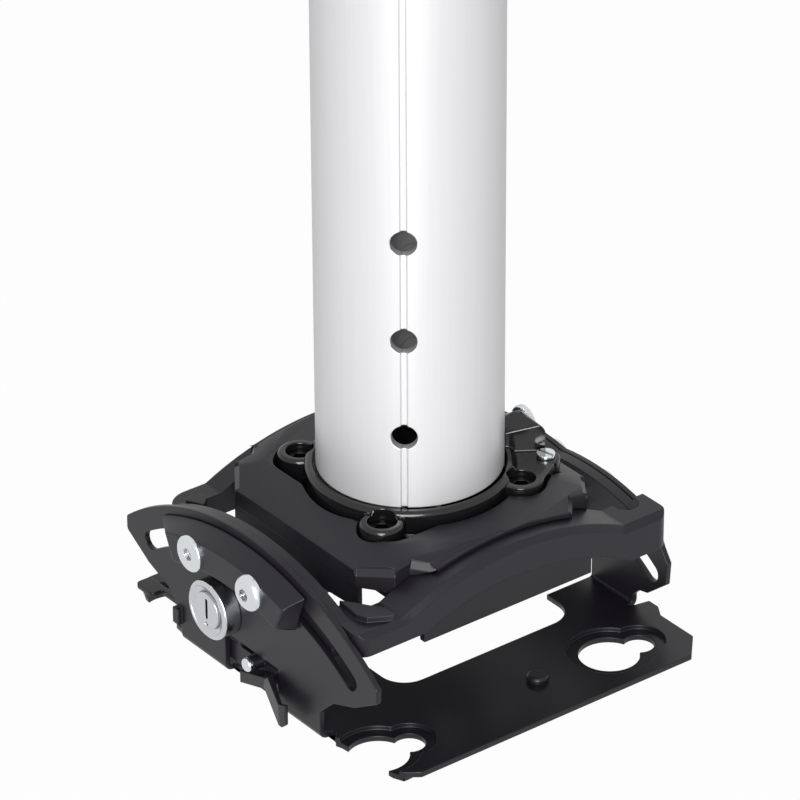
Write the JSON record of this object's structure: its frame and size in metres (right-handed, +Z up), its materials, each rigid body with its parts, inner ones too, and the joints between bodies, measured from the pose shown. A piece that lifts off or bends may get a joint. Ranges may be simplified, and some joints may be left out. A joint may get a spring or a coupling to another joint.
{
  "type": "projector ceiling mount",
  "caption": "Projector ceiling mount: a column carries a turning collar, an arched roll platform and cradle, and a slotted tilt bracket with keyholes and a key lock.",
  "frame": {"origin": "on the column's axis, level with the top edge of the collar that the column turns in", "axes": "+Z up along the column, +Y from the key lock's side to the far ear, +X along the key lock's face to the side with the deeper arched beam"},
  "size_m": [0.1456, 0.1476, 0.268],
  "materials": {
    "column_aluminium": "satin anodised extrusion",
    "bright_steel": "bright zinc plate",
    "knurled_steel": "knurled bright zinc plate",
    "collar_enamel": "glossy black enamel on a casting",
    "black_casting": "satin black powder coat on a casting",
    "black_sheet": "satin black powder coat on folded sheet",
    "lock_chrome": "polished chrome plate"
  },
  "bodies": {
    "column": {"column": "column_aluminium", "column_foot": "bright_steel", "foot_screws": "bright_steel"},
    "turntable": {"collar": "collar_enamel", "collar_screws": "bright_steel", "collar_nuts": "bright_steel", "pad_screw": "bright_steel", "platform": "black_casting", "roll_clamp": "black_sheet", "roll_bolts": "bright_steel"},
    "knob": {"thumb_knob": "knurled_steel"},
    "cradle": {"cradle": "black_casting", "near_shoe": "black_casting", "near_flat_screw": "bright_steel", "near_dome_screw": "bright_steel", "near_nuts": "bright_steel", "far_shoe": "black_casting", "far_screws": "bright_steel", "far_nuts": "bright_steel"},
    "bracket": {"pitch_bracket": "black_sheet", "plate_studs": "black_sheet", "lock_body": "lock_chrome", "lock_nut": "lock_chrome"},
    "lock": {"lock_plug": "lock_chrome", "lock_cam": "bright_steel"},
    "latch": {"latch_slide": "black_sheet", "latch_rivet": "bright_steel"}
  },
  "joints": [
    {"name": "yaw", "type": "hinge", "parent": "column", "child": "turntable", "pos_m": [0, 0, 0], "axis": [0, 0, 1], "range_deg": [-180, 180]},
    {"name": "thumb_screw", "type": "hinge", "parent": "turntable", "child": "knob", "pos_m": [0, 0, 0], "axis": [0.1167, 0.9932, 0], "range_deg": [0, 360]},
    {"name": "roll", "type": "hinge", "parent": "turntable", "child": "cradle", "pos_m": [0, 0, -0.1067], "axis": [1, 0, 0], "range_deg": [-3.5, 3.5]},
    {"name": "pitch", "type": "hinge", "parent": "cradle", "child": "bracket", "pos_m": [0, 0, -0.1098], "axis": [0, 1, 0], "range_deg": [-20, 20]},
    {"name": "key_turn", "type": "hinge", "parent": "bracket", "child": "lock", "pos_m": [-0.014, -0.06, -0.0365], "axis": [0, -1, 0], "range_deg": [0, 90]},
    {"name": "latch_slide", "type": "slide", "parent": "bracket", "child": "latch", "axis": [1, 0, 0], "range_m": [-0.008, 0], "stiffness_N_per_m": 150, "springref_m": 0.01}
  ]
}
